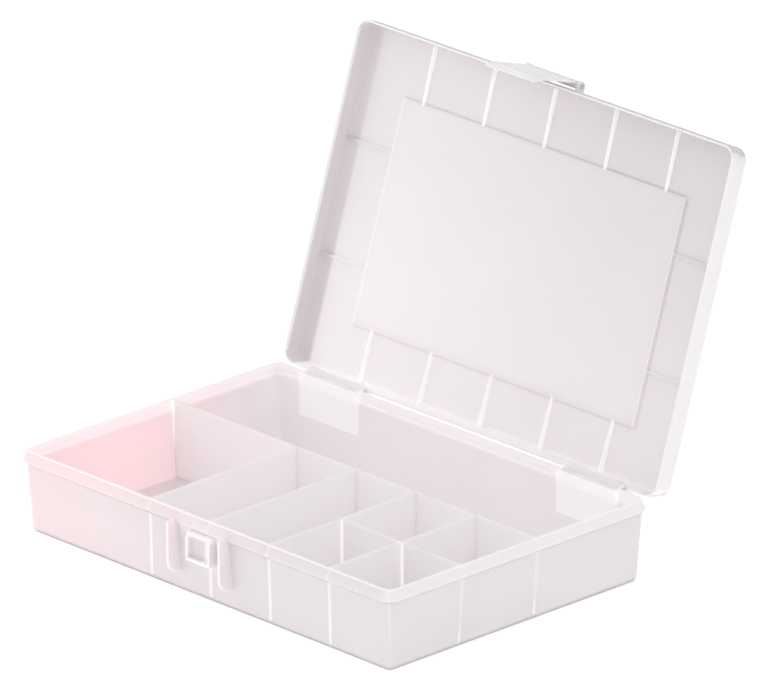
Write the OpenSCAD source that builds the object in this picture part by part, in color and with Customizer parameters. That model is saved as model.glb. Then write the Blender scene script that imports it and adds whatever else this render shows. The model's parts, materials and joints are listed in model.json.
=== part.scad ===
// Compartment storage box: open tray with dividers, hinged lid and a front latch.
// Millimetres, +Z up, X along the long side, Y to the hinges, origin under the tray's centre.
// The lid is drawn closed and turned to its open rest pose about the hinge axis.

/* [Tray] */
// Length over the tray's top edge
tray_l = 250; // [235:1:270]
// Width over the tray's top edge
tray_w = 166; // [156:1:184]
// Height of the tray
tray_h = 41; // [38:0.5:60]
// Corner radius of the top edge
corner_r = 5.2; // [5:0.1:9]
// Thickness of the walls
wall_t = 1.5; // [1.3:0.1:1.8]
// Thickness of the floor
floor_t = 1.6; // [1.4:0.1:2]
// How far the walls lean in towards the floor
wall_lean = 2.4; // [1.8:0.1:2.5]
// How far the slanted rim stands out
rim_out = 2; // [1.7:0.1:2.1]
// Height of the slanted rim
rim_h = 5.3; // [5:0.1:6]
// Radius of the rounding under the walls
foot_r = 2.4; // [1.8:0.1:2.4]

/* [Dividers] */
// Thickness of the divider plates
divider_t = 1.4; // [1.2:0.1:1.6]
// How far the dividers stay below the top edge
divider_drop = 0.6; // [0.4:0.1:2]
// Distance between the cross dividers
cross_pitch = 40.4; // [36:0.2:42]
// Place of the second cross divider along the tray
cross_x = 2.6; // [-2:0.2:6]
// Place of the long divider across the tray
long_y = 12.6; // [4:0.2:24]
// Place of the short dividers across the tray
short_y = -35.5; // [-40:0.5:-28]
// Depth of the grooves that hold the plates
groove_d = 0.35; // [0.25:0.05:0.4]

/* [Lid] */
// Height of the lid from its edge to its top
lid_h = 11.4; // [10:0.2:14]
// Thickness of the lid's walls
lid_wall = 1.5; // [1.3:0.1:1.7]
// Thickness of the lid's plate
lid_t = 1.4; // [1.2:0.1:1.6]
// How far the lid's edge laps over the rim
lid_lap = 2; // [1.8:0.1:2.4]
// Opening angle of the lid in the rest pose
open_angle = 108; // [100:1:112]
// Length of the label panel
panel_l = 190.6; // [178:0.2:194]
// Width of the label panel
panel_w = 111.6; // [100:0.2:116]
// How far the label panel is set down
panel_set = 0.9; // [0.6:0.1:1.1]
// Thickness of the stiffening ribs
rib_t = 1.2; // [1:0.1:1.6]

/* [Hinge] */
// Distance of each hinge's middle from the tray's end
hinge_inset = 37.3; // [35:0.1:48]
// Length of the lid's hinge barrels
barrel_l = 34.4; // [28:0.2:36]
// Radius of the barrels at their ends
barrel_r = 3.9; // [3.6:0.1:4]
// Radius of the hinge pins
hinge_pin_r = 1.5; // [1.3:0.1:1.7]

/* [Latch] */
// Width of the latch flap
flap_w = 32.8; // [28:0.2:36]
// Thickness of the latch flap
flap_t = 1.2; // [1:0.1:1.4]
// Radius of the latch pin
latch_pin_r = 1.1; // [0.9:0.1:1.2]

/* [Clearances] */
// Gap between the lid's edge and the tray's rim
lid_gap = 0.3; // [0.3:0.05:0.4]
// Gap round a hinge barrel and beside it
hinge_gap = 0.35; // [0.3:0.05:0.4]
// Radial clearance of a pin in the piece that turns on it
turn_gap = 0.06; // [0.04:0.01:0.08]
// Clearance of a plate or pin in the piece that holds it
seat_gap = 0.03; // [0.02:0.01:0.05]

/* [Hidden] */
$fn = 72;
over = 0.5;
// Tray wall, seen as distance from the corner axis and height
crest_r = 0.7;
rim_z = tray_h - rim_h;
step_z = rim_z - rim_out;
ledge_down = 4.9;
ledge_z = tray_h - ledge_down;
ledge = 0.5;
wall_foot_r = corner_r - wall_lean - wall_t;
floor_bevel = min(1, 0.6 * wall_foot_r);
wall_head_r = corner_r - 2 * crest_r - ledge;
inner_lean = (wall_head_r - wall_foot_r) / (ledge_z - floor_t);
corner_x = tray_l / 2 - corner_r;
corner_y = tray_w / 2 - corner_r;
// Dividers
plate_top = tray_h - divider_drop;
plate_low = floor_t - groove_d + seat_gap;
plate_foot_r = wall_foot_r + groove_d;
plate_head_r = wall_head_r + groove_d;
plate_rim_r = corner_r - 2 * crest_r + groove_d;
cross_back = long_y - divider_t / 2 + groove_d;
// Place of a cross divider along the tray, counted from the left
function cross_at(k) = cross_x + (k - 2) * cross_pitch;
// Lid in the closed pose
lid_over = lid_gap + lid_wall;
lid_z = tray_h - lid_lap;
lid_top = lid_z + lid_h;
lid_ceiling = lid_top - lid_t;
lid_r = corner_r + lid_over;
lid_draft = 0.6;
lid_edge_r = 2.2;
lid_step_up = 4.4;
lid_step_z = lid_z + lid_step_up;
lid_step = 0.35;
lid_bevel = 0.8;
rim_slope = rim_out / (rim_h - crest_r);
lid_mouth_r = corner_r + rim_slope * (lid_lap - crest_r) + lid_gap;
lid_back = tray_w / 2 + lid_over;
panel_y = 2.2;
panel_r = 1.6;
rib_low = 1.05;
rib_high = 2.25;
rib_pitch = 40.9;
side_rib_y = 28.5;
side_rib_shift = 2;
// Hinge
hinge_x = tray_l / 2 - hinge_inset;
axis_out = 2.7;
axis_down = 2.2;
axis_y = tray_w / 2 + axis_out;
axis_z = tray_h - axis_down;
barrel_waist = 0.7;
barrel_end = 2.5;
waist_half = barrel_l / 2 - barrel_end;
waist_r = (waist_half * waist_half + barrel_waist * barrel_waist) / (2 * barrel_waist);
cheek_t = 2;
cheek_r = 3.4;
cheek_reach = 8;
cheek_in = barrel_l / 2 + hinge_gap;
cheek_out = cheek_in + cheek_t;
cheek_round = 5;
bracket_down = 21;
bracket_z = tray_h - bracket_down;
web_t = 1.6;
pad_in = 3.4;
pad_down = 0.6;
pad_y = tray_w / 2 - pad_in;
pad_top = tray_h - pad_down;
stop_gap = 0.15;
// Catch on the front wall
front_y = -tray_w / 2;
fin_x = 17.5;
fin_t = 1.2;
fin_out = 6.8;
fin_down = 4.4;
fin_h = 26.6;
fin_y = front_y - fin_out;
fin_top = tray_h - fin_down;
fin_low = fin_top - fin_h;
fin_round = 7;
bump_w = 16.4;
bump_out = 4;
bump_down = 7.5;
bump_h = 14;
bump_y = front_y - bump_out;
bump_top = tray_h - bump_down;
bump_low = bump_top - bump_h;
bump_wall = 1.5;
bump_dish = 2.4;
bump_ramp = 1;
// Oval lug on the slanted rim, between the closed lid's edge and the rim's lower edge
rim_angle = atan(rim_slope);
lug_w = 9.8;
lug_out = 0.5;
lug_edge = 0.15;
lug_low = rim_z + lug_edge;
lug_high = lid_z - lid_gap - lug_out * sin(rim_angle);
lug_h = (lug_high - lug_low) / cos(rim_angle);
lug_z = (lug_high + lug_low) / 2;
lug_y = front_y - rim_slope * (tray_h - crest_r - lug_z);
// Latch, hanging upright beside the closed lid
pivot_out = 4.6;
pivot_up = 5.6;
pivot_y = front_y - pivot_out;
pivot_z = lid_z + pivot_up;
knuckle_wall = 0.85;
knuckle_r = latch_pin_r + knuckle_wall;
flap_in = pivot_y - knuckle_r + flap_t;
flap_out = pivot_y - knuckle_r;
flap_straight = 0.5;
flap_tail = 5.2;
flap_bend = bump_low + flap_straight;
flap_low = bump_low - flap_tail;
flap_tuck = 1.6;
hook_w = 15;
hook_gap = 0.3;
hook_top = bump_low - hook_gap;
hook_y = bump_y - hook_gap;
hook_h = 2.6;
hook_nose = 0.8;
ear_in = flap_w / 2 + hinge_gap;
ear_t = 2;
ear_wall = 1.2;
ear_r = latch_pin_r + ear_wall;
ear_out = ear_in + ear_t;

// Runs a wall section round the box: four straight sides and four quarter-turn corners.
module around() {
    for (turn = [0, 180]) rotate(turn) {
        translate([corner_x, 0, 0]) rotate([90, 0, 0])
            linear_extrude(2 * corner_y, center = true) children();
        translate([0, corner_y, 0]) rotate([90, 0, 90])
            linear_extrude(2 * corner_x, center = true) children();
        translate([corner_x, corner_y, 0]) rotate_extrude(angle = 90) children();
        translate([-corner_x, corner_y, 0]) rotate(90) rotate_extrude(angle = 90) children();
    }
}

// Extrudes a (y, z) outline along X, centred on x.
module slab_x(x, t) {
    translate([x, 0, 0]) rotate([90, 0, 90]) linear_extrude(t, center = true) children();
}

// Extrudes an (x, z) outline along Y, centred on y.
module slab_y(y, t) {
    translate([0, y, 0]) rotate([90, 0, 0]) linear_extrude(t, center = true) children();
}

// Round bar along X at a place in (y, z).
module bar_x(x, y, z, r, l) {
    translate([x, y, z]) rotate([0, 90, 0]) cylinder(r = r, h = l, center = true);
}

// Turns a piece of the closed lid to the open rest pose.
module opened() {
    translate([0, axis_y, axis_z]) rotate([-open_angle, 0, 0])
        translate([0, -axis_y, -axis_z]) children();
}

// What a rounding of radius r takes off an outside corner that points to (sx, sy).
module round_off(r, sx, sy) {
    difference() {
        translate([sx * r, sy * r]) square(2 * r, center = true);
        circle(r);
    }
}

module round_rect(l, w, r) {
    square([l - 2 * r, w], center = true);
    square([l, w - 2 * r], center = true);
    for (sx = [-1, 1], sy = [-1, 1])
        translate([sx * (l / 2 - r), sy * (w / 2 - r)]) circle(r);
}

// Tray wall with its share of the floor: rounded foot, leaning wall, slanted rim, round crest.
module tray_section() {
    foot = corner_r - wall_lean;
    difference() {
        polygon([[0, 0], [foot, 0], [foot, foot_r], [corner_r, step_z], [corner_r + rim_out, rim_z],
                 [corner_r, tray_h - crest_r], [corner_r - 2 * crest_r, tray_h - crest_r],
                 [corner_r - 2 * crest_r, ledge_z], [wall_head_r, ledge_z],
                 [wall_foot_r + inner_lean * floor_bevel, floor_t + floor_bevel],
                 [wall_foot_r - floor_bevel, floor_t], [0, floor_t]]);
        translate([foot - foot_r, foot_r]) round_off(foot_r, 1, -1);
    }
    translate([corner_r - crest_r, tray_h - crest_r]) circle(crest_r);
}

// One end of a divider plate at a wall: up the leaning wall, out over the ledge, up to the top.
// A plate has no gap and ends at its own top; its groove is wider by the seat gap and open above.
function end_points(c, s, gap, top) = [
    [s * (c + plate_foot_r + gap), plate_low - gap],
    [s * (c + plate_head_r + gap), ledge_z - gap],
    [s * (c + plate_rim_r + gap), ledge_z - gap],
    [s * (c + plate_rim_r + gap), top]];

function turned(list) = [for (i = [len(list) - 1 : -1 : 0]) list[i]];

// Outline of the long divider in (x, z).
module long_outline(gap, top) {
    polygon(concat(end_points(corner_x, 1, gap, top), turned(end_points(corner_x, -1, gap, top))));
}

// Outline of a cross divider in (y, z), from the front wall to the long divider.
module cross_outline(gap, top) {
    polygon(concat([[cross_back, plate_low - gap], [cross_back, top]],
                   turned(end_points(corner_y, -1, gap, top))));
}

// Outline of the short divider that ends at the right wall, in (x, z).
module right_outline(gap, top) {
    x = cross_at(4) + divider_t / 2 - groove_d;
    polygon(concat(end_points(corner_x, 1, gap, top), [[x, top], [x, plate_low - gap]]));
}

// Outline of the short divider between the last two cross dividers, in (x, z).
module middle_outline(gap, top) {
    x = cross_at(3) + divider_t / 2 - groove_d;
    l = cross_pitch - divider_t + 2 * groove_d;
    translate([x, plate_low - gap]) square([l, top - plate_low + gap]);
}

// Grooves of the divider plates in the tray's floor and walls.
module divider_grooves() {
    wide = divider_t + 2 * seat_gap;
    top = tray_h + over;
    slab_y(long_y, wide) long_outline(seat_gap, top);
    for (k = [1 : 4]) slab_x(cross_at(k), wide) cross_outline(seat_gap, top);
    slab_y(short_y, wide) right_outline(seat_gap, top);
    slab_y(short_y, wide) middle_outline(seat_gap, top);
}

// Latch catch: two guard fins, between them a dished bump that the latch hooks under, and a lug.
module fin_outline() {
    root = front_y + wall_lean;
    difference() {
        polygon([[fin_y, fin_low], [root, fin_low], [front_y + crest_r, step_z],
                 [front_y + crest_r, fin_top], [fin_y, fin_top]]);
        translate([fin_y + fin_round, fin_low + fin_round]) round_off(fin_round, -1, -1);
    }
}

module lug_outline() {
    square([lug_w - lug_h, lug_h], center = true);
    for (s = [-1, 1]) translate([s * (lug_w - lug_h) / 2, 0]) circle(lug_h / 2);
}

module catch() {
    for (s = [-1, 1]) slab_x(s * fin_x, fin_t) fin_outline();
    difference() {
        slab_x(0, bump_w)
            polygon([[front_y + wall_lean, bump_low], [bump_y, bump_low],
                     [bump_y, bump_top - 3 * bump_ramp], [bump_y + bump_ramp, bump_top],
                     [front_y + over, bump_top]]);
        translate([-bump_w / 2 + bump_wall, bump_y - over, bump_low + bump_wall])
            cube([bump_w - 2 * bump_wall, bump_dish + over, bump_top - bump_low - 2 * bump_wall]);
    }
    translate([0, lug_y, lug_z]) rotate([90 - rim_angle, 0, 0]) translate([0, 0, -over])
        linear_extrude(lug_out + over) lug_outline();
}

// Side cheek of a hinge bracket in (y, z): a disc round the pin and a foot the open lid rests on.
module cheek_outline() {
    wall = tray_w / 2 - wall_lean;
    reach = tray_w / 2 + cheek_reach;
    translate([axis_y, axis_z]) circle(cheek_r);
    difference() {
        translate([wall, bracket_z]) square([reach - wall, axis_z - bracket_z]);
        translate([reach - cheek_round, bracket_z + cheek_round]) round_off(cheek_round, 1, -1);
        translate([axis_y, axis_z]) rotate(-open_angle)
            translate([lid_back + stop_gap - axis_y - lid_h, -lid_h]) square([lid_h, 3 * lid_h]);
    }
}

module bracket(x) {
    for (s = [-1, 1]) slab_x(x + s * (cheek_in + cheek_out) / 2, cheek_t) cheek_outline();
    translate([x - cheek_in - over, tray_w / 2 - wall_lean, bracket_z])
        cube([2 * (cheek_in + over), wall_lean + cheek_reach - cheek_round, web_t]);
    translate([x - cheek_out, pad_y, bracket_z])
        cube([2 * cheek_out, tray_w / 2 - wall_lean + over - pad_y, step_z - bracket_z]);
    translate([x - cheek_out, pad_y, step_z - over])
        cube([2 * cheek_out, tray_w / 2 - crest_r - pad_y, pad_top - step_z + over]);
}

// Hinge barrel as a turned outline, thinner in its middle; grow widens it into the rim's hollow.
module barrel(x, grow) {
    translate([x, axis_y, axis_z]) rotate([0, 90, 0]) rotate_extrude() difference() {
        translate([0, -barrel_l / 2 - grow]) square([barrel_r + grow, barrel_l + 2 * grow]);
        translate([barrel_r + grow - barrel_waist + waist_r, 0]) circle(waist_r, $fn = 360);
    }
}

module tray() {
    color([0.87, 0.86, 0.87]) difference() {
        union() {
            around() tray_section();
            translate([-corner_x, -corner_y, 0]) cube([2 * corner_x, 2 * corner_y, floor_t]);
            catch();
            for (s = [-1, 1]) bracket(s * hinge_x);
        }
        divider_grooves();
        for (s = [-1, 1]) {
            barrel(s * hinge_x, hinge_gap);
            bar_x(s * hinge_x, axis_y, axis_z, hinge_pin_r + seat_gap, 2 * cheek_out + over);
        }
    }
}

// Grooves of the cross dividers in the long divider's front face.
module long_divider() {
    color([0.9, 0.89, 0.9]) difference() {
        slab_y(long_y, divider_t) long_outline(0, plate_top);
        for (k = [1 : 4])
            translate([cross_at(k) - divider_t / 2 - seat_gap, 0, 0])
                cube([divider_t + 2 * seat_gap, cross_back + seat_gap, tray_h]);
    }
}

// Cross dividers are counted from the left; the last two carry grooves for the short dividers.
module cross_divider(k) {
    x = cross_at(k);
    face = divider_t / 2 - groove_d - seat_gap;
    color([0.9, 0.89, 0.9]) difference() {
        slab_x(x, divider_t) cross_outline(0, plate_top);
        for (s = (k == 3 ? [1] : k == 4 ? [-1, 1] : []))
            translate([x + (s > 0 ? face : -divider_t), short_y - divider_t / 2 - seat_gap, 0])
                cube([divider_t - face, divider_t + 2 * seat_gap, tray_h]);
    }
}

module cross_divider_1() { cross_divider(1); }
module cross_divider_2() { cross_divider(2); }
module cross_divider_3() { cross_divider(3); }
module cross_divider_4() { cross_divider(4); }

module short_divider_1() {
    color([0.9, 0.89, 0.9]) slab_y(short_y, divider_t) middle_outline(0, plate_top);
}

module short_divider_2() {
    color([0.9, 0.89, 0.9]) slab_y(short_y, divider_t) right_outline(0, plate_top);
}

// Lid wall with its share of the plate: bevelled mouth, faint step, round top edge.
module lid_section() {
    side = lid_r - lid_draft;
    difference() {
        polygon([[lid_r, lid_z], [lid_r, lid_step_z], [lid_r - lid_step, lid_step_z + lid_step],
                 [side, lid_top - lid_edge_r], [side, lid_top], [0, lid_top], [0, lid_ceiling],
                 [side - lid_wall - lid_bevel, lid_ceiling],
                 [side - lid_wall, lid_ceiling - lid_bevel],
                 [lid_r - lid_wall, tray_h - crest_r], [lid_mouth_r, lid_z]]);
        translate([side - lid_edge_r, lid_top - lid_edge_r]) round_off(lid_edge_r, 1, 1);
    }
}

// Stiffening rib as an outline of length l: low at the panel, high at the wall.
module rib_outline(l) {
    polygon([[0, over], [0, -rib_low], [l, -rib_high], [l, over]]);
}

module lid_ribs() {
    back_l = tray_w / 2 - panel_y - panel_w / 2 + over;
    front_l = tray_w / 2 + panel_y - panel_w / 2 + over;
    side_l = tray_l / 2 - panel_l / 2 + over;
    for (k = [-2 : 2]) {
        translate([k * rib_pitch, panel_y + panel_w / 2 - over, lid_ceiling])
            slab_x(0, rib_t) rib_outline(back_l);
        translate([k * rib_pitch, panel_y - panel_w / 2 + over, lid_ceiling])
            rotate(180) slab_x(0, rib_t) rib_outline(front_l);
    }
    for (sy = [-1, 1]) {
        translate([panel_l / 2 - over, side_rib_shift + sy * side_rib_y, lid_ceiling])
            slab_y(0, rib_t) rib_outline(side_l);
        translate([-panel_l / 2 + over, side_rib_shift + sy * side_rib_y, lid_ceiling])
            rotate(180) slab_y(0, rib_t) rib_outline(side_l);
    }
}

module ear_outline() {
    translate([pivot_y, pivot_z]) circle(ear_r);
    translate([pivot_y, pivot_z - ear_r]) square([front_y - lid_gap - over - pivot_y, 2 * ear_r]);
}

module closed_lid() {
    difference() {
        union() {
            around() lid_section();
            translate([-corner_x, -corner_y, lid_ceiling]) cube([2 * corner_x, 2 * corner_y, lid_t]);
            translate([0, panel_y, lid_ceiling - panel_set])
                linear_extrude(panel_set + over) round_rect(panel_l, panel_w, panel_r);
            lid_ribs();
            for (s = [-1, 1]) {
                barrel(s * hinge_x, 0);
                slab_x(s * (ear_in + ear_out) / 2, ear_t) ear_outline();
            }
        }
        translate([0, panel_y, lid_top - panel_set])
            linear_extrude(panel_set + over) round_rect(panel_l - 2 * lid_t, panel_w - 2 * lid_t, panel_r);
        for (s = [-1, 1]) {
            bar_x(s * hinge_x, axis_y, axis_z, hinge_pin_r + turn_gap, barrel_l + over);
            for (e = [-1, 1])
                bar_x(s * hinge_x + e * (cheek_in + cheek_out) / 2, axis_y, axis_z,
                      cheek_r + hinge_gap, cheek_t + 2 * hinge_gap);
        }
        bar_x(0, pivot_y, pivot_z, latch_pin_r + seat_gap, 2 * ear_out + over);
    }
}

module lid() {
    color([0.88, 0.87, 0.88]) opened() closed_lid();
}

// Flap with its barrel, a hook that catches under the bump and a tucked-in lower edge.
module flap_outline() {
    tip = (flap_in + flap_out) / 2 + flap_tuck;
    polygon([[flap_in, pivot_z], [flap_out, pivot_z], [flap_out, flap_bend],
             [tip - flap_t / 2, flap_low], [tip + flap_t / 2, flap_low], [flap_in, flap_bend]]);
    translate([tip, flap_low]) circle(flap_t / 2);
}

module hook_outline() {
    polygon([[flap_in - flap_t / 2, hook_top], [hook_y, hook_top], [hook_y, hook_top - hook_nose],
             [flap_in, hook_top - hook_h], [flap_in - flap_t / 2, hook_top - hook_h]]);
}

module latch() {
    color([0.92, 0.91, 0.92]) opened() difference() {
        union() {
            slab_x(0, flap_w) flap_outline();
            slab_x(0, hook_w) hook_outline();
            bar_x(0, pivot_y, pivot_z, knuckle_r, flap_w);
        }
        bar_x(0, pivot_y, pivot_z, latch_pin_r + turn_gap, flap_w + over);
    }
}

module latch_pin() {
    color([0.94, 0.93, 0.94]) opened() bar_x(0, pivot_y, pivot_z, latch_pin_r, 2 * ear_out);
}

module hinge_pin_left() {
    color([0.94, 0.93, 0.94]) bar_x(-hinge_x, axis_y, axis_z, hinge_pin_r, 2 * cheek_out);
}

module hinge_pin_right() {
    color([0.94, 0.93, 0.94]) bar_x(hinge_x, axis_y, axis_z, hinge_pin_r, 2 * cheek_out);
}

tray();
long_divider();
cross_divider_1();
cross_divider_2();
cross_divider_3();
cross_divider_4();
short_divider_1();
short_divider_2();
lid();
latch();
latch_pin();
hinge_pin_left();
hinge_pin_right();
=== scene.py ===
import json
import math

import bpy
from mathutils import Matrix, Vector


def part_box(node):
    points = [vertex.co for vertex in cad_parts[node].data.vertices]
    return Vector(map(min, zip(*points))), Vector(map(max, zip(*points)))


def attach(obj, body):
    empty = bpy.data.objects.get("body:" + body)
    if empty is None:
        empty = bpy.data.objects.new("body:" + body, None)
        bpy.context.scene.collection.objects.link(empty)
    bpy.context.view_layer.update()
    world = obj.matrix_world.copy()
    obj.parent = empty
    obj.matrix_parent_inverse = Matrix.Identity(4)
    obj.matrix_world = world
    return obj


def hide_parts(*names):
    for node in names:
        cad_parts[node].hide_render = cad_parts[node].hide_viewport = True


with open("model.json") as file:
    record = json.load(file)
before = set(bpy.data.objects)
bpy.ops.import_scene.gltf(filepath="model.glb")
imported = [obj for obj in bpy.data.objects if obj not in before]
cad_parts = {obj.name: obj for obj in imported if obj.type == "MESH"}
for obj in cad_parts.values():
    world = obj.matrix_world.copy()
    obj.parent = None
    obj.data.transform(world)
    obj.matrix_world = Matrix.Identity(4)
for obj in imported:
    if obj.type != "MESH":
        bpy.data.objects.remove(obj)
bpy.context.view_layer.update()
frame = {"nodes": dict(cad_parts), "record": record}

bpy.ops.object.select_all(action="DESELECT")


# Tray: one injection moulding in uncoloured milky polypropylene, with a flat floor, leaning walls
# and a slanted rim. The catch on its front wall and the two hinge brackets behind belong to it.
# Where a divider's edge touches a wall, the light that the plate carries is painted as a pale, glowing
# line.
def moulded_copy(name, node, body, rounding, surface_materials):
    """The node's solid with its triangles joined and its sharp edges rounded as moulded edges are.

    The first material is the skin, the second one goes on the rounded edges; for most pieces it is a
    painted highlight or a painted lighter copy of the plastic."""
    piece = bpy.data.objects.new(name, frame["nodes"][node].data.copy())
    bpy.context.collection.objects.link(piece)
    piece.data.materials.clear()
    for surface_material in surface_materials:
        piece.data.materials.append(surface_material)
    bpy.ops.object.select_all(action="DESELECT")
    piece.select_set(True)
    bpy.context.view_layer.objects.active = piece
    bpy.ops.object.mode_set(mode="EDIT")
    bpy.ops.mesh.select_all(action="SELECT")
    bpy.ops.mesh.remove_doubles(threshold=1e-6)
    bpy.ops.mesh.dissolve_limited(angle_limit=math.radians(0.5))
    bpy.ops.object.mode_set(mode="OBJECT")
    for face in piece.data.polygons:
        face.material_index = 0
    edges = piece.modifiers.new("rounded_edges", "BEVEL")
    edges.width = rounding
    edges.segments = 2
    edges.limit_method = "ANGLE"
    edges.angle_limit = math.radians(35)
    edges.use_clamp_overlap = True
    edges.material = 1
    bpy.ops.object.modifier_apply(modifier=edges.name)
    bpy.ops.object.shade_smooth_by_angle(angle=math.radians(32))
    flat = piece.modifiers.new("flat_faces_stay_flat", "WEIGHTED_NORMAL")
    flat.keep_sharp = True
    bpy.ops.object.modifier_apply(modifier=flat.name)
    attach(piece, body)
    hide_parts(node)
    return piece


def milky_plastic(name, pale, deep, roughness=0.38, lit=0.0, painted_light=None):
    """Uncoloured polypropylene: cloudy inside, satin outside, and light goes some way into it.

    The last argument paints light and shade on one piece: it takes the cloudy colour and gives back the
    colour with its painted lines, and how strongly a painted glow comes out there. lit is an even painted
    glow."""
    plastic = bpy.data.materials.new(name)
    plastic.use_nodes = True
    nodes, links = plastic.node_tree.nodes, plastic.node_tree.links
    skin = nodes["Principled BSDF"]
    place = nodes.new("ShaderNodeTexCoord")
    cloud = nodes.new("ShaderNodeTexNoise")
    cloud.inputs["Scale"].default_value = 26.0
    cloud.inputs["Detail"].default_value = 4.0
    links.new(place.outputs["Object"], cloud.inputs["Vector"])
    tint = nodes.new("ShaderNodeValToRGB")
    tint.color_ramp.elements[0].position = 0.32
    tint.color_ramp.elements[0].color = (*deep, 1)
    tint.color_ramp.elements[1].position = 0.68
    tint.color_ramp.elements[1].color = (*pale, 1)
    links.new(cloud.outputs["Fac"], tint.inputs["Fac"])
    colour = tint.outputs["Color"]
    # The painted glow's colour, a pinkish white.
    skin.inputs["Emission Color"].default_value = (1.0, 0.965, 0.98, 1)
    skin.inputs["Emission Strength"].default_value = lit
    if painted_light:
        colour, painted_glow = painted_light(nodes, links, place.outputs["Object"], colour)
        links.new(painted_glow, skin.inputs["Emission Strength"])
    links.new(colour, skin.inputs["Base Color"])
    grain = nodes.new("ShaderNodeTexNoise")
    grain.inputs["Scale"].default_value = 900.0
    grain.inputs["Detail"].default_value = 2.0
    links.new(place.outputs["Object"], grain.inputs["Vector"])
    gloss = nodes.new("ShaderNodeMapRange")
    gloss.inputs["To Min"].default_value = roughness - 0.05
    gloss.inputs["To Max"].default_value = roughness + 0.05
    links.new(grain.outputs["Fac"], gloss.inputs["Value"])
    links.new(gloss.outputs["Result"], skin.inputs["Roughness"])
    relief = nodes.new("ShaderNodeBump")
    relief.inputs["Strength"].default_value = 0.06
    relief.inputs["Distance"].default_value = 0.0002
    links.new(grain.outputs["Fac"], relief.inputs["Height"])
    links.new(relief.outputs["Normal"], skin.inputs["Normal"])
    skin.inputs["Subsurface Weight"].default_value = 0.9
    skin.inputs["Subsurface Radius"].default_value = (1.0, 0.94, 0.96)
    skin.inputs["Subsurface Scale"].default_value = 0.004
    skin.inputs["IOR"].default_value = 1.49
    skin.inputs["Specular IOR Level"].default_value = 0.4
    return plastic


def worked(nodes, links, operation, first, *others):
    """Arithmetic on masks or coordinates, one term after the other; a later term may be a number."""
    for other in others:
        step = nodes.new("ShaderNodeMath")
        step.operation = operation
        links.new(first, step.inputs[0])
        if isinstance(other, (int, float)):
            step.inputs[1].default_value = other
        else:
            links.new(other, step.inputs[1])
        first = step.outputs[0]
    return first


def ramp(nodes, links, value, start, end, low, high):
    """A coordinate turned into a smooth run from low to high."""
    run = nodes.new("ShaderNodeMapRange")
    run.interpolation_type = "SMOOTHSTEP"
    run.inputs["From Min"].default_value = start
    run.inputs["From Max"].default_value = end
    run.inputs["To Min"].default_value = low
    run.inputs["To Max"].default_value = high
    links.new(value, run.inputs["Value"])
    return run.outputs["Result"]


def size_of(nodes, links, value):
    """A coordinate without its sign."""
    return worked(nodes, links, "ABSOLUTE", value, 0.0)


def near(nodes, links, value, centre, half, soft):
    """1 where a coordinate lies within half of centre, falling softly to 0 beyond it."""
    off = size_of(nodes, links, worked(nodes, links, "SUBTRACT", value, centre))
    return ramp(nodes, links, off, half - soft, half + soft, 1.0, 0.0)


def tinted(nodes, links, mask, colour, tint):
    """The colour, turned into the tint where the mask is 1."""
    blend = nodes.new("ShaderNodeMix")
    blend.data_type = "RGBA"
    blend.inputs["B"].default_value = (*tint, 1)
    links.new(mask, blend.inputs["Factor"])
    links.new(colour, blend.inputs["A"])
    return blend.outputs["Result"]


def apart(nodes, links, place):
    """The three coordinates of a place."""
    axes = nodes.new("ShaderNodeSeparateXYZ")
    links.new(place, axes.inputs[0])
    return axes.outputs[0], axes.outputs[1], axes.outputs[2]


def middle(node, axis):
    """The middle of a node's box along one axis."""
    low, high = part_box(node)
    return (low[axis] + high[axis]) / 2


# The tint of the painted glowing lines on the walls and at the dividers' ends.
painted_glow_tint = (0.985, 0.96, 0.97)
line_slant, line_soft, front_line_half, end_line_half = 0.053, 0.0004, 0.0010, 0.0009
front_face_y, end_face_x, face_soft = -0.0796, 0.1213, 0.0002
front_line_shift, end_line_shift = -0.0004, -0.0008
pad_half_x, pad_y, pad_half_y, pad_z, pad_half_z, pad_soft = 0.0203, 0.0865, 0.0075, 0.0325, 0.0136, 0.0006
wall_lean, wall_soft, inner_x, inner_y = 0.0571, 3e-4, 0.12176, 0.07976
foot_top, floor_blend_top, band_low = 0.0021, 0.0040, 0.0350
catch_light_half, catch_soft = 0.0163, 0.0004


def painted_glow_lines(nodes, links, x, y, z):
    """Painted pale, glowing lines on the front wall and the end walls where the plates' edges touch them,
    standing in for light that the plates carry.
    """
    front = worked(nodes, links, "MULTIPLY",
                   ramp(nodes, links, y, front_face_y - face_soft, front_face_y + face_soft, 1.0, 0.0),
                   ramp(nodes, links, z, 0.0300, 0.0060, 0.65, 1.0),
                   ramp(nodes, links, z, band_low, 0.0360, 1.0, 0.45))
    seen_x = worked(nodes, links, "SUBTRACT", x, worked(nodes, links, "MULTIPLY", z, line_slant))
    end = worked(nodes, links, "MULTIPLY",
                 ramp(nodes, links, size_of(nodes, links, x),
                      end_face_x - face_soft, end_face_x + face_soft, 0.0, 1.0),
                 ramp(nodes, links, z, 0.0130, 0.0040, 0.25, 0.9))
    lines = []
    for node in ("cross_divider_1", "cross_divider_2", "cross_divider_3", "cross_divider_4"):
        line = near(nodes, links, seen_x, middle(node, 0) + front_line_shift, front_line_half, line_soft)
        lines.append(worked(nodes, links, "MULTIPLY", line, front))
    for node, reach in (("long_divider", -1.0), ("short_divider_2", 0.0)):
        line = near(nodes, links, y, middle(node, 1) + end_line_shift, end_line_half, line_soft)
        beyond = ramp(nodes, links, x, reach, reach + 0.01, 0.0, 1.0)
        lines.append(worked(nodes, links, "MULTIPLY", line, end, beyond))
    return worked(nodes, links, "MAXIMUM", *lines)


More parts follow.
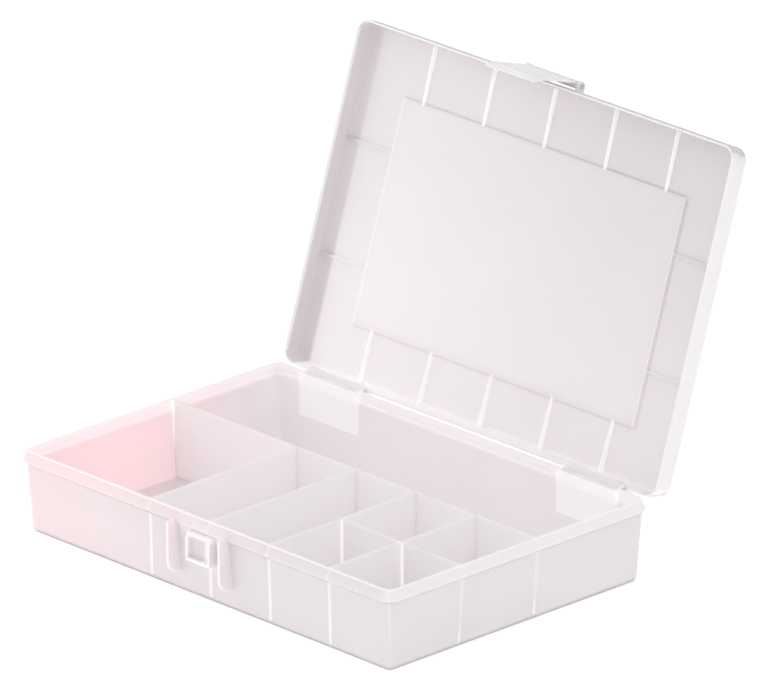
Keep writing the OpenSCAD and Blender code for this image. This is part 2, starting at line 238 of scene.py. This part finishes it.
def painted_pad_glow(nodes, links, x, y, z):
    """The thick hinge brackets, painted paler than the wall that carries them and given a painted glow."""
    pads = []
    for node in ("hinge_pin_left", "hinge_pin_right"):
        pads.append(worked(nodes, links, "MULTIPLY",
                           near(nodes, links, x, middle(node, 0), pad_half_x, pad_soft),
                           near(nodes, links, y, pad_y, pad_half_y, pad_soft),
                           near(nodes, links, z, pad_z, pad_half_z, pad_soft)))
    return worked(nodes, links, "MAXIMUM", *pads)


def painted_inside_glow(nodes, links, x, y, z):
    """A painted glow on the inside that stands in for light coming in by every wall, most near the rim and
    on the back wall.
    """
    light = worked(nodes, links, "MULTIPLY", ramp(nodes, links, z, 0.0040, 0.0340, 0.065, 0.095),
                   ramp(nodes, links, z, foot_top, floor_blend_top, 0.9, 1.0),
                   ramp(nodes, links, y, 0.060, 0.078, 1.0, 1.5))
    upper = worked(nodes, links, "MULTIPLY", ramp(nodes, links, z, 0.0335, 0.0360, 0.0, 0.15),
                   ramp(nodes, links, y, 0.070, 0.078, 1.0, 0.65))
    light = worked(nodes, links, "ADD", light, upper)
    lean = worked(nodes, links, "MULTIPLY", z, wall_lean)
    for coordinate, wall in ((x, inner_x), (y, inner_y)):
        off = worked(nodes, links, "SUBTRACT", size_of(nodes, links, coordinate), lean)
        within = ramp(nodes, links, off, wall - wall_soft, wall + wall_soft, 1.0, 0.0)
        light = worked(nodes, links, "MULTIPLY", light, within)
    return light


def painted_catch_glow(nodes, links, x, y, z):
    """A painted glow between the catch's fins, most in the gap under the rim, which lifts the shade there.
    """
    catch = worked(nodes, links, "MULTIPLY", near(nodes, links, x, 0.0, catch_light_half, catch_soft),
                   ramp(nodes, links, y, -0.0822, -0.0812, 1.0, 0.0))
    deep = worked(nodes, links, "MULTIPLY", ramp(nodes, links, z, 0.0295, 0.0325, 0.04, 0.13),
                  ramp(nodes, links, z, band_low, 0.0362, 1.0, 0.25))
    return worked(nodes, links, "MULTIPLY", catch, deep)


def tray_painted_light(nodes, links, place, colour):
    """Painted light on the tray: the dividers' glowing lines, the paler hinge brackets, and the glow
    inside and in the catch.
    """
    x, y, z = apart(nodes, links, place)
    lines = painted_glow_lines(nodes, links, x, y, z)
    pads = painted_pad_glow(nodes, links, x, y, z)
    bright = worked(nodes, links, "MAXIMUM", worked(nodes, links, "MULTIPLY", lines, 0.85),
                    worked(nodes, links, "MULTIPLY", pads, 0.8))
    painted_glow = worked(nodes, links, "MAXIMUM", worked(nodes, links, "MULTIPLY", lines, 0.12),
                     worked(nodes, links, "MULTIPLY", pads, 0.15),
                     painted_inside_glow(nodes, links, x, y, z), painted_catch_glow(nodes, links, x, y, z))
    return tinted(nodes, links, bright, colour, painted_glow_tint), painted_glow


def band_painted_light(nodes, links, place, colour):
    """The rim's slanted band takes the same painted lines and glow, and a painted glow that grows at the
    right end.
    """
    colour, painted_glow = tray_painted_light(nodes, links, place, colour)
    end = ramp(nodes, links, apart(nodes, links, place)[0], 0.118, 0.124, 0.0, 0.09)
    return colour, worked(nodes, links, "MAXIMUM", painted_glow, end)


# The edge plastic is a paler copy with a painted glow: a painted highlight on crests and rounded edges.
edge_pale, edge_deep, edge_roughness = (0.98, 0.96, 0.97), (0.97, 0.945, 0.955), 0.34
painted_edge_highlight = milky_plastic("painted_edge_highlight", edge_pale, edge_deep, edge_roughness, 0.08)
tray_plastic = milky_plastic("tray_plastic", (0.80, 0.772, 0.785), (0.78, 0.752, 0.765), painted_light=tray_painted_light)
# Lit and shaded copies of the same plastic: paler with a faint painted glow for the dividers' tops and the
# lid's rim, a painted lighter band for the slanted rim, and painted shade for the gaps under the rim and
# round the foot.
painted_lit_plastic = milky_plastic("painted_lit_plastic", (0.91, 0.88, 0.895), (0.89, 0.86, 0.875), lit=0.04)
painted_lit_band = milky_plastic("painted_lit_band", (0.86, 0.83, 0.845), (0.845, 0.815, 0.83), painted_light=band_painted_light)
shade_plastic = milky_plastic("shade_plastic", (0.69, 0.655, 0.67), (0.67, 0.635, 0.65))
moulded_rounding = 0.0001
tray = moulded_copy("tray_moulding", "tray", "tray", moulded_rounding,
                    [tray_plastic, painted_edge_highlight, painted_lit_band, shade_plastic])
# The crests, the front faces of the fins and bump, and the lug take the painted highlight, the slanted
# band is painted lighter, and the rim's underside and the rounded foot take painted shade.
wall_slot, crest_slot, band_slot, painted_shade_slot = 0, 1, 2, 3
rim_low, rim_under, crest_low, rim_edge_y = 0.0358, 0.03, 0.0402, 0.0855
inside_x, inside_y = 0.1239, 0.0819
catch_half, catch_y, fin_x, fin_half = 0.0185, -0.0836, 0.0175, 0.0007
bump_half, bump_face_y, lug_half = 0.0084, -0.0866, 0.0050
for face in tray.data.polygons:
    x, y, z = face.center
    facing = face.normal.z
    inside = abs(x) < inside_x and abs(y) < inside_y
    slanted = 0.3 < facing < 0.5
    on_fin = y < catch_y and abs(abs(x) - fin_x) < fin_half and z < rim_low
    on_bump = abs(x) < bump_half and y < bump_face_y
    on_lug = abs(x) < lug_half and y < catch_y and z > rim_low
    over_catch = y < 0 and abs(x) < catch_half and facing < -0.6 and z > rim_under
    if z > crest_low:
        face.material_index = crest_slot
    elif on_fin or on_bump:
        face.material_index = crest_slot if abs(face.normal.x) < 0.5 else wall_slot
    elif on_lug and not slanted:
        face.material_index = crest_slot
    elif over_catch or (inside and z > foot_top):
        face.material_index = wall_slot
    elif z > rim_low and abs(y) < rim_edge_y and slanted:
        face.material_index = band_slot
    elif abs(y) < rim_edge_y and -0.8 < facing < -0.6 and z > rim_under:
        face.material_index = painted_shade_slot
    elif z < foot_top and -0.98 < facing < -0.1:
        face.material_index = painted_shade_slot


# Divider plates: seven thin moulded plates of the same polypropylene, pushed down into shallow
# grooves in the tray's floor and walls and in one another. They are a lighter copy with a painted glow,
# and their top faces are painted lighter still.
# Painted glow of each kind of plate near the top, deep down and at the ends.
painted_divider_glow = {"long": (0.14, 0.115, 0.33), "cross": (0.128, 0.089, 0.0), "short": (0.125, 0.09, 0.3)}
plate_top, plate_deep, plate_end_half, plate_end_soft, end_tint_share = 0.0380, 0.0120, 0.0019, 0.0003, 2.5


def divider_painted_light(along, low, high, top_light, deep_light, end_light):
    """A painted glow all over a plate, most near its top, and a paler, glowing painted line at the two
    ends of some.
    """
    def painted_light(nodes, links, place, colour):
        axes = apart(nodes, links, place)
        depth = ramp(nodes, links, axes[2], plate_top, plate_deep, top_light, deep_light)
        ends = worked(nodes, links, "MAXIMUM",
                      near(nodes, links, axes[along], low, plate_end_half, plate_end_soft),
                      near(nodes, links, axes[along], high, plate_end_half, plate_end_soft))
        ends = worked(nodes, links, "MULTIPLY", ends, end_light)
        paler = worked(nodes, links, "MULTIPLY", ends, end_tint_share)
        return (tinted(nodes, links, paler, colour, painted_glow_tint),
                worked(nodes, links, "MAXIMUM", depth, ends))
    return painted_light


for node in [name for name in frame["nodes"] if "divider" in name]:
    low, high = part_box(node)
    kind = node.split("_")[0]
    along = 1 if kind == "cross" else 0
    painted_glow = divider_painted_light(along, low[along], high[along], *painted_divider_glow[kind])
    divider_plastic = milky_plastic(node + "_plastic", (0.875, 0.842, 0.855), (0.86, 0.827, 0.84), 0.36,
                                    painted_light=painted_glow)
    plate = moulded_copy(node + "_plate", node, "tray", moulded_rounding,
                         [divider_plastic, painted_lit_plastic])
    # Upward faces take the painted lighter plastic.
    for face in plate.data.polygons:
        face.material_index = 1 if face.normal.z > 0.3 else 0


# Lid: a shallow moulding of the same polypropylene with a label panel set down into its plate,
# stiffening ribs round the panel, two hinge barrels behind and two small ears for the latch.
hinge = frame["record"]["behaviour"]["joints"][0]
axis = Vector(hinge["pos_m"])
shut_turn = math.radians(hinge["range_deg"][1])
shut = Matrix.Rotation(shut_turn, 4, "X")
shut_lid = Matrix.Translation(axis) @ shut @ Matrix.Translation(-axis)
panel_y, panel_half_x, panel_half_y, panel_soft = 0.0022, 0.0953, 0.0558, 0.0003
# shaded_line is the painted shade in the panel's corner; side_light is a painted highlight along the
# panel's sides.
shaded_line, side_light = (0.62, 0.585, 0.60), 0.07


def lid_painted_light(nodes, links, place, colour):
    """A thin painted shade line in the corner at three sides of the panel, a painted glow that stands in
    for light in the plate and grows towards the hinge and the left end, and a painted highlight along the
    panel's sides, read on the shut lid."""
    laid = nodes.new("ShaderNodeMapping")
    laid.inputs["Location"].default_value = axis - shut.to_3x3() @ axis
    laid.inputs["Rotation"].default_value = (shut_turn, 0, 0)
    links.new(place, laid.inputs["Vector"])
    x, y, z = apart(nodes, links, laid.outputs["Vector"])
    y = worked(nodes, links, "SUBTRACT", y, panel_y)
    across = near(nodes, links, x, 0.0, panel_half_x + 0.0002, panel_soft)
    along = near(nodes, links, y, 0.0, panel_half_y + 0.0002, panel_soft)
    ends = near(nodes, links, size_of(nodes, links, y), panel_half_y + 0.0004, 0.0006, panel_soft)
    right = near(nodes, links, x, panel_half_x + 0.0007, 0.0009, 0.0004)
    shade = worked(nodes, links, "MAXIMUM", worked(nodes, links, "MULTIPLY", ends, across),
                   worked(nodes, links, "MULTIPLY", right, along))
    shade = worked(nodes, links, "MULTIPLY", shade, ramp(nodes, links, z, 0.0482, 0.0484, 0.0, 0.55))
    painted_plate_glow = worked(nodes, links, "ADD", ramp(nodes, links, x, -0.125, 0.125, 0.08, 0.0),
                     ramp(nodes, links, y, -0.08, 0.08, 0.0, 0.12))
    painted_plate_glow = worked(nodes, links, "MULTIPLY", painted_plate_glow, near(nodes, links, x, 0.0, 0.1180, 0.0015))
    sides = near(nodes, links, size_of(nodes, links, x), panel_half_x - 0.0004, 0.0006, panel_soft)
    sides = worked(nodes, links, "MULTIPLY", sides, along, side_light)
    painted_plate_glow = worked(nodes, links, "ADD", painted_plate_glow, sides)
    painted_plate_glow = worked(nodes, links, "MULTIPLY", painted_plate_glow, ramp(nodes, links, z, 0.0491, 0.0495, 1.0, 0.0))
    return tinted(nodes, links, shade, colour, shaded_line), painted_plate_glow


# The panel and the plate are shaded copies of the same plastic, painted darker than the tray's walls.
panel_plastic = milky_plastic("panel_plastic", (0.77, 0.742, 0.76), (0.755, 0.727, 0.745), 0.36,
                              painted_light=lid_painted_light)
lid_plastic = milky_plastic("lid_plastic", (0.745, 0.715, 0.735), (0.725, 0.695, 0.715), painted_light=lid_painted_light)
# The end ribs take a paler copy with a strong painted glow: a painted highlight on their crests.
painted_rib_highlight = milky_plastic("painted_rib_highlight", edge_pale, edge_deep, edge_roughness, 0.2)
lid = moulded_copy("lid_moulding", "lid", "lid", moulded_rounding,
                   [lid_plastic, painted_edge_highlight, panel_plastic, painted_lit_plastic, shade_plastic, painted_rib_highlight])
plate_slot, mouth_slot, panel_slot, rim_slot, shade_slot, rib_slot = range(6)
mouth_low, lip_top, lip_x, lip_end_x = 0.0394, 0.0502, 0.1252, 0.121
front_y, back_y, lip_front_y, lip_back_y = -0.080, 0.08, -0.0852, -0.0832
rib_half, rib_pitch, rib_low, rib_high = 0.00085, 0.0409, 0.0464, 0.0489
rib_reach_x, rib_reach_y = 0.1, 0.0825
panel_height, panel_flat = 0.0481, 0.00003
# The mouth's downward faces and the end ribs take painted highlights, the lip's front takes painted shade,
# and the outer sides, the ears and the back of the mouth the painted lighter plastic.
for face in lid.data.polygons:
    x, y, height = shut_lid @ face.center
    facing = (shut.to_3x3() @ face.normal).z
    in_rib_layer = rib_low < height < rib_high and abs(x) < rib_reach_x and abs(y) < rib_reach_y
    off_rib = abs(x / rib_pitch - round(x / rib_pitch)) * rib_pitch
    on_end_rib = off_rib < rib_half and abs(y - panel_y) > panel_half_y
    on_lip = lip_front_y < y < lip_back_y and abs(x) < lip_end_x
    face.material_index = plate_slot
    if height < mouth_low and facing < -0.3 and y > front_y:
        face.material_index = rim_slot if y > back_y else mouth_slot
    elif in_rib_layer and on_end_rib:
        face.material_index = rib_slot
    elif facing < -0.99 and abs(height - panel_height) < panel_flat:
        face.material_index = panel_slot
    elif on_lip and height < lip_top and facing < 0.3:
        face.material_index = shade_slot
    elif (abs(x) > lip_x or y < lip_front_y) and height < lip_top:
        face.material_index = rim_slot


# Hinge pins and latch pin: plain rods of natural plastic. The hinge pins are pressed into the
# tray's cheeks, the latch pin into the lid's ears, and their ends lie flush.
pin_plastic = milky_plastic("pin_plastic", (0.95, 0.93, 0.94), (0.93, 0.91, 0.92), 0.3)
pin_rounding = 0.00015
for node, body in (("hinge_pin_left", "tray"), ("hinge_pin_right", "tray"), ("latch_pin", "lid")):
    moulded_copy(node + "_rod", node, body, pin_rounding, [pin_plastic, pin_plastic])


# Latch: a small moulded flap with a hook, which turns on the pin in the lid's ears and snaps
# under the bump on the tray's front wall.
# The latch is a paler copy with a faint painted glow.
latch_plastic = milky_plastic("latch_plastic", (0.97, 0.945, 0.96), (0.955, 0.93, 0.945), 0.36, 0.03)
latch_rounding = 0.0002
moulded_copy("latch_flap", "latch", "latch", latch_rounding, [latch_plastic, painted_edge_highlight])


# Floor: a plain white glowing studio table whose paint turns grey further out, a painted falloff of light,
# so that far edges of the plastic reflect something darker than themselves. Its glow is turned down under
# the tray: a painted contact shadow.
floor_size, floor_drop, fade_reach = 16, -0.0002, 4.0
under_x, under_y, under_soft, open_light, under_light = 0.1215, 0.0795, 0.0015, 0.42, 0.06
bpy.ops.mesh.primitive_plane_add(size=floor_size, location=(0, 0, floor_drop))
floor = bpy.context.object
floor.name = "studio_floor"
bpy.ops.object.transform_apply(location=True, rotation=True, scale=True)
table_paint = bpy.data.materials.new("table_paint")
table_paint.use_nodes = True
paint_nodes, paint_links = table_paint.node_tree.nodes, table_paint.node_tree.links
paint = paint_nodes["Principled BSDF"]
spot_place = paint_nodes.new("ShaderNodeTexCoord")
reach = paint_nodes.new("ShaderNodeVectorMath")
reach.operation = "LENGTH"
fade = paint_nodes.new("ShaderNodeValToRGB")
fade.color_ramp.elements[0].position = 0.15
fade.color_ramp.elements[0].color = (0.93, 0.925, 0.93, 1)
fade.color_ramp.elements[1].position = 0.6
fade.color_ramp.elements[1].color = (0.5, 0.495, 0.5, 1)
paint_links.new(spot_place.outputs["Object"], reach.inputs[0])
far = worked(paint_nodes, paint_links, "DIVIDE", reach.outputs["Value"], fade_reach)
paint_links.new(far, fade.inputs["Fac"])
paint_links.new(fade.outputs["Color"], paint.inputs["Base Color"])
paint.inputs["Roughness"].default_value = 0.9
paint.inputs["Specular IOR Level"].default_value = 0.1
paint.inputs["Emission Color"].default_value = (1, 0.995, 1, 1)
floor_axes = apart(paint_nodes, paint_links, spot_place.outputs["Object"])
under = worked(paint_nodes, paint_links, "MULTIPLY",
               near(paint_nodes, paint_links, floor_axes[0], 0.0, under_x, under_soft),
               near(paint_nodes, paint_links, floor_axes[1], 0.0, under_y, under_soft))
table_light = ramp(paint_nodes, paint_links, under, 0.0, 1.0, open_light, under_light)
paint_links.new(table_light, paint.inputs["Emission Strength"])
floor.data.materials.append(table_paint)


# Studio light: a white room that is brightest overhead, a wide soft box above the table, and two
# small rosy lamps. One colours the box's left end from outside, the other the left wall inside.
scene = bpy.context.scene
scene.view_settings.view_transform = "Standard"
room = bpy.data.worlds.new("studio_room")
room.use_nodes = True
room_nodes, room_links = room.node_tree.nodes, room.node_tree.links
way = room_nodes.new("ShaderNodeTexCoord")
way_axes = room_nodes.new("ShaderNodeSeparateXYZ")
brightness = room_nodes.new("ShaderNodeMapRange")
brightness.inputs["From Min"].default_value = -0.1
brightness.inputs["From Max"].default_value = 0.9
brightness.inputs["To Min"].default_value = 0.44
brightness.inputs["To Max"].default_value = 0.86
room_links.new(way.outputs["Generated"], way_axes.inputs[0])
room_links.new(way_axes.outputs["Z"], brightness.inputs["Value"])
room_links.new(brightness.outputs["Result"], room_nodes["Background"].inputs["Strength"])
room_nodes["Background"].inputs["Color"].default_value = (1.0, 0.99, 0.995, 1)
scene.world = room


def soft_box(name, place, target, size, power, colour):
    """A square lamp at a place, turned to its target."""
    bpy.ops.object.light_add(type="AREA", location=place)
    lamp = bpy.context.object
    lamp.name = name
    lamp.data.shape = "SQUARE"
    lamp.data.size = size
    lamp.data.energy = power
    lamp.data.color = colour
    lamp.rotation_euler = (Vector(target) - Vector(place)).to_track_quat("-Z", "Y").to_euler()
    return lamp


def shine_on(lamp, spread_deg, pieces):
    """Narrows a lamp's cone and lets it light only the named pieces."""
    lamp.data.spread = math.radians(spread_deg)
    lit = bpy.data.collections.new(lamp.name + "_lights")
    for name in pieces:
        lit.objects.link(bpy.data.objects[name])
    lamp.light_linking.receiver_collection = lit


rosy = (1, 0.1, 0.1)
soft_box("key_box", (-0.9, -0.15, 0.8), (-0.02, 0.03, 0.05), 0.9, 2.6, (1, 1, 1))
rosy_front = soft_box("rosy_front", (-0.22, -0.20, 0.04), (-0.115, -0.083, 0.025), 0.08, 0.0081, rosy)
rosy_beam = soft_box("rosy_beam", (0.55, -0.15, 0.34), (-0.122, -0.03, 0.026), 0.06, 0.0125, rosy)
shine_on(rosy_front, 60, ("tray_moulding", "long_divider_plate", "cross_divider_1_plate"))
shine_on(rosy_beam, 14, ("tray_moulding",))


# Camera: a long lens from the front right, at the photograph's angle.
turn, lift, tilt = math.radians(46.423), math.radians(21.053), math.radians(-0.243)
away, aside, above = 6.6853, 0.02373, 0.09884
back = Vector((math.sin(turn) * math.cos(lift), -math.cos(turn) * math.cos(lift), math.sin(lift)))
right = Vector((math.cos(turn), math.sin(turn), 0))
up = back.cross(right)
level = right * math.cos(tilt) + up * math.sin(tilt)
upright = up * math.cos(tilt) - right * math.sin(tilt)
spot = back * away + level * aside + upright * above
bpy.ops.object.camera_add(location=spot)
camera = bpy.context.object
camera.name = "studio_camera"
axes = Matrix((level, upright, back)).transposed().to_4x4()
camera.matrix_world = Matrix.Translation(spot) @ axes
camera.data.sensor_fit = "HORIZONTAL"
camera.data.sensor_width = 36.0
camera.data.lens = 667.8
camera.data.clip_start = 0.1
camera.data.clip_end = 40.0
scene.camera = camera
